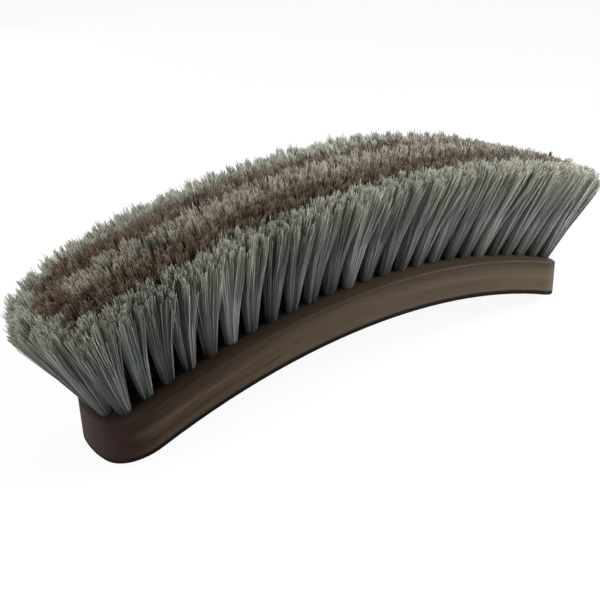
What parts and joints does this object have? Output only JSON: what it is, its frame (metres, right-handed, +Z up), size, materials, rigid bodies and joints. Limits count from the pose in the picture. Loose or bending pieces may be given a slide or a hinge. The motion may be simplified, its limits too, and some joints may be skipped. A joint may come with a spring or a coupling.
{
  "type": "shoe shine brush",
  "caption": "Arched wooden shoe shine brush with rows of grey and brown hair tufts on its outer curve, each set in a drilled hole by a wire anchor; the hollow underside fits the palm.",
  "frame": {"origin": "under the middle of the brush, on the surface that the block's two ends rest on", "axes": "+X along the brush, +Y across it towards the back row, +Z up, the way the hair points"},
  "size_m": [0.2406, 0.0534, 0.0727],
  "materials": {
    "stained_wood": "dark brown stain, satin varnish, edges slightly paler",
    "grey_hair": "fine grey animal hair, darker at the root and paler at the trimmed tips",
    "brown_hair": "fine dark brown animal hair with a soft sheen",
    "anchor_wire": "bare flat steel wire, hidden in the holes"
  },
  "bodies": {
    "root": {"wooden_block": "stained_wood", "front_grey_tufts_left": "grey_hair", "front_grey_tufts_middle": "grey_hair", "front_grey_tufts_right": "grey_hair", "front_brown_tufts_left": "brown_hair", "front_brown_tufts_middle": "brown_hair", "front_brown_tufts_right": "brown_hair", "middle_grey_tufts_left": "grey_hair", "middle_grey_tufts_middle": "grey_hair", "middle_grey_tufts_right": "grey_hair", "back_brown_tufts_left": "brown_hair", "back_brown_tufts_middle": "brown_hair", "back_brown_tufts_right": "brown_hair", "back_grey_tufts_left": "grey_hair", "back_grey_tufts_middle": "grey_hair", "back_grey_tufts_right": "grey_hair", "left_end_grey_tufts": "grey_hair", "left_end_brown_tuft": "brown_hair", "right_end_grey_tufts": "grey_hair", "right_end_brown_tuft": "brown_hair", "front_grey_anchors": "anchor_wire", "front_brown_anchors": "anchor_wire", "middle_grey_anchors": "anchor_wire", "back_brown_anchors": "anchor_wire", "back_grey_anchors": "anchor_wire"}
  },
  "joints": []
}
